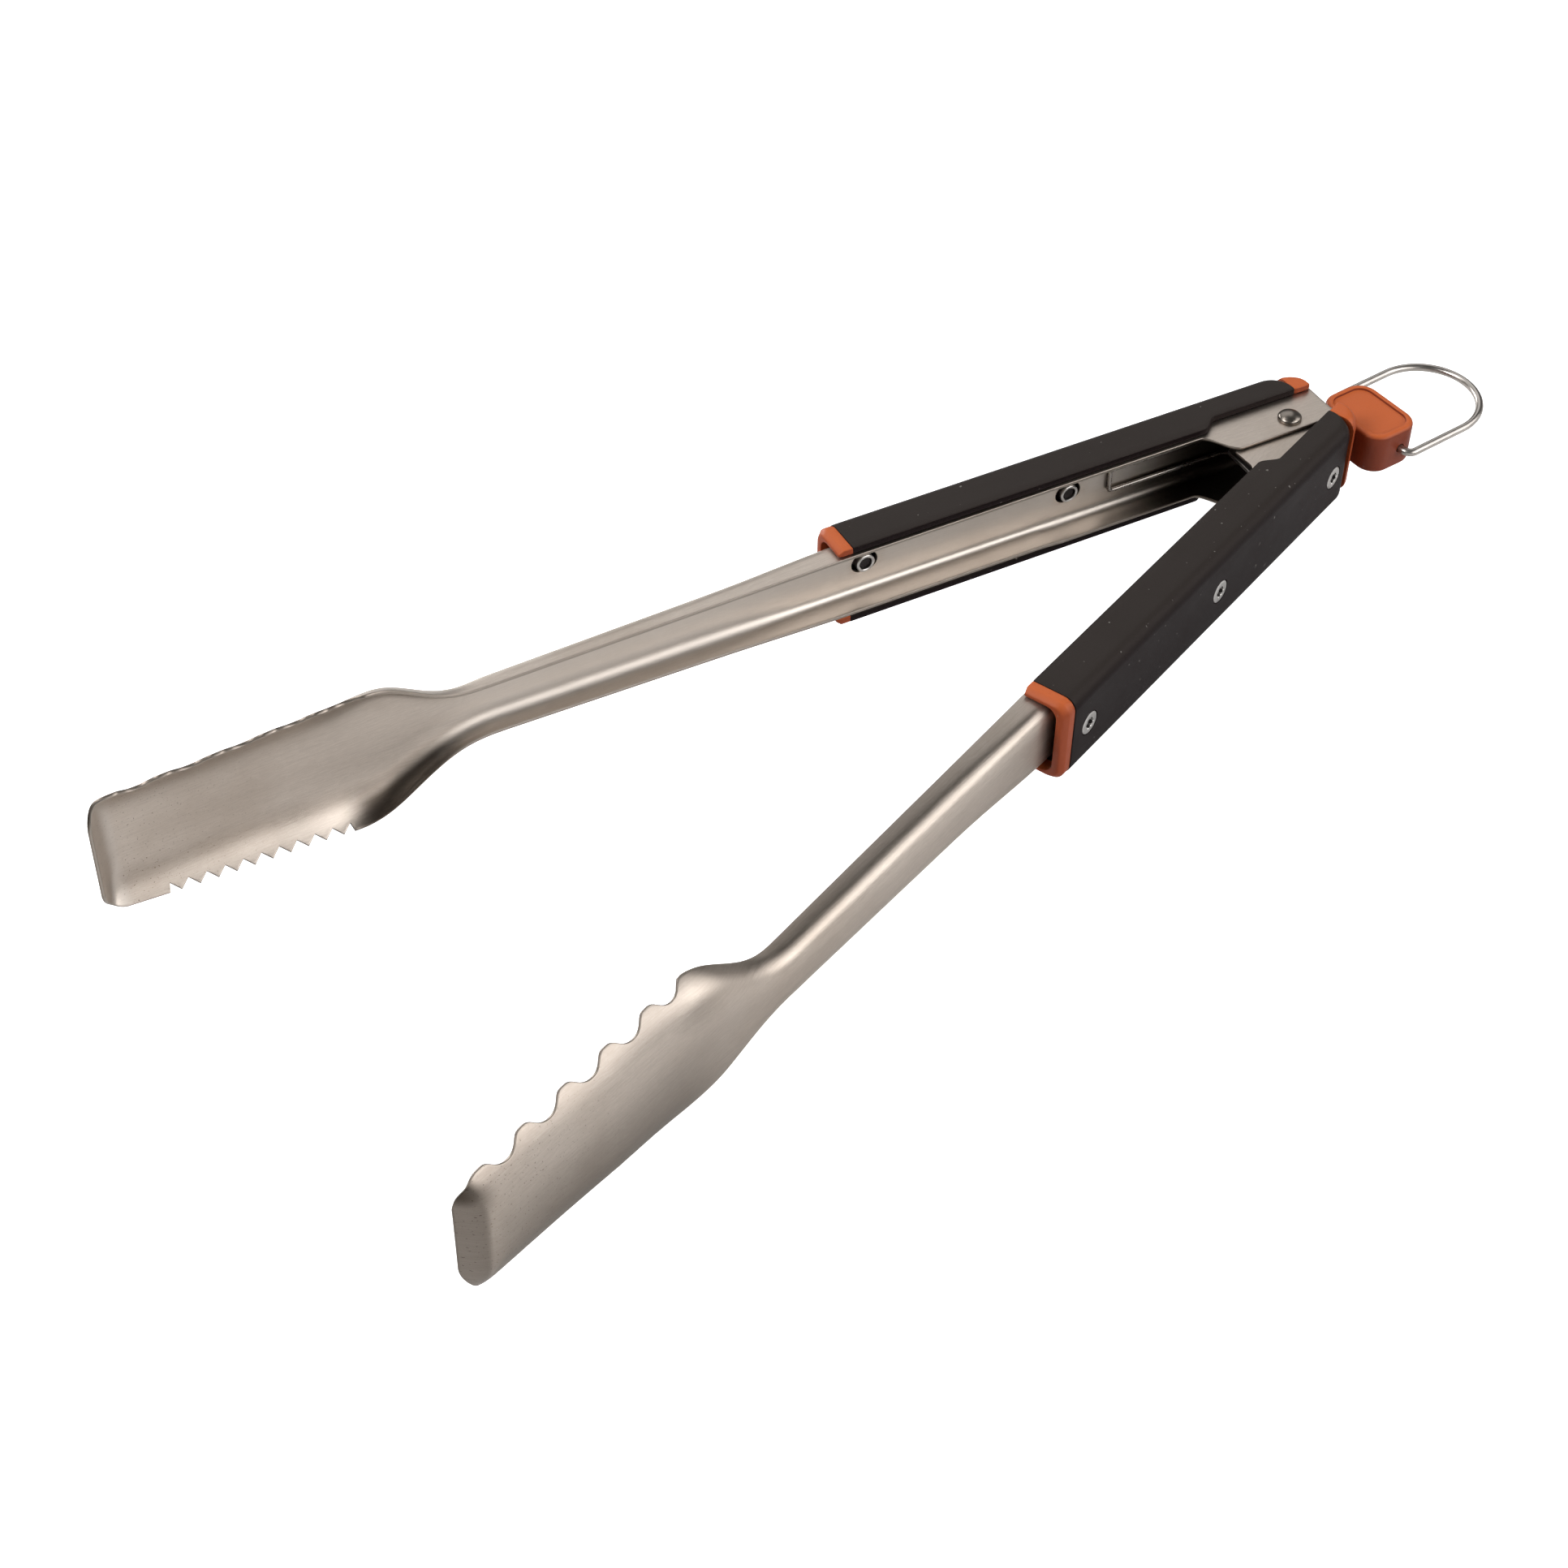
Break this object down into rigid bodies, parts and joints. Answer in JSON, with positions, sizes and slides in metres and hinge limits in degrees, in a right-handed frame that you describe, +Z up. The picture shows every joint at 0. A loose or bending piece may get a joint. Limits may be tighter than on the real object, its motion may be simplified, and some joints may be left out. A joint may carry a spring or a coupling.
{
  "type": "spring loaded kitchen tongs",
  "caption": "Long scissor tongs with scooped steel blades, scalloped and toothed edges, covered handles, an opening spring, a pull tab lock and a hanging loop.",
  "frame": {"origin": "centre of the object's footprint, on the plane of the lowest edge of the blades, with the tongs lying on their side", "axes": "+X from the blade tips towards the hanging loop, Y the way the arms open, +Z up along the rivet axis, scalloped blade edges up"},
  "size_m": [0.5012, 0.1934, 0.0532],
  "materials": {
    "arm_steel": "brushed stainless sheet, warm grey",
    "cover_black": "satin black moulded plastic",
    "orange_plastic": "burnt orange moulded plastic",
    "fastener_zinc": "zinc plated",
    "rivet_steel": "polished domed head",
    "bush_nylon": "plain black nylon",
    "spring_wire": "drawn spring wire",
    "plate_steel": "plain sheet",
    "loop_wire": "polished stainless wire"
  },
  "bodies": {
    "far_side": {"far_arm": "arm_steel", "far_cover": "cover_black", "far_front_trim": "orange_plastic", "far_rear_trim": "orange_plastic", "far_front_screw": "fastener_zinc", "far_front_sleeve": "fastener_zinc", "far_middle_screw": "fastener_zinc", "far_middle_sleeve": "fastener_zinc", "far_rear_screw": "fastener_zinc", "far_rear_sleeve": "fastener_zinc", "pivot_rivet": "rivet_steel", "upper_bush": "bush_nylon", "lower_bush": "bush_nylon", "torsion_spring": "spring_wire"},
    "near_side": {"near_arm": "arm_steel", "near_cover": "cover_black", "near_front_trim": "orange_plastic", "near_rear_trim": "orange_plastic", "near_front_screw": "fastener_zinc", "near_front_sleeve": "fastener_zinc", "near_middle_screw": "fastener_zinc", "near_middle_sleeve": "fastener_zinc", "near_rear_screw": "fastener_zinc", "near_rear_sleeve": "fastener_zinc"},
    "lock": {"lock_plate": "plate_steel", "lock_tab": "orange_plastic"},
    "loop": {"hanging_loop": "loop_wire"}
  },
  "joints": [
    {"name": "arm_hinge", "type": "hinge", "parent": "far_side", "child": "near_side", "pos_m": [0.17164, 0, 0.02616], "axis": [0, 0, -1], "range_deg": [0, 23.5], "stiffness_Nm_per_rad": 0.5, "springref_deg": -34.38, "deforming": ["torsion_spring"]},
    {"name": "lock_slide", "type": "slide", "parent": "far_side", "child": "lock", "axis": [0.9766, -0.2149, 0], "range_m": [0, 0.009]},
    {"name": "loop_swing", "type": "hinge", "parent": "lock", "child": "loop", "pos_m": [0.20442, -0.01091, 0.02616], "axis": [0.1045, 0.9945, 0], "range_deg": [-100, 100]}
  ]
}
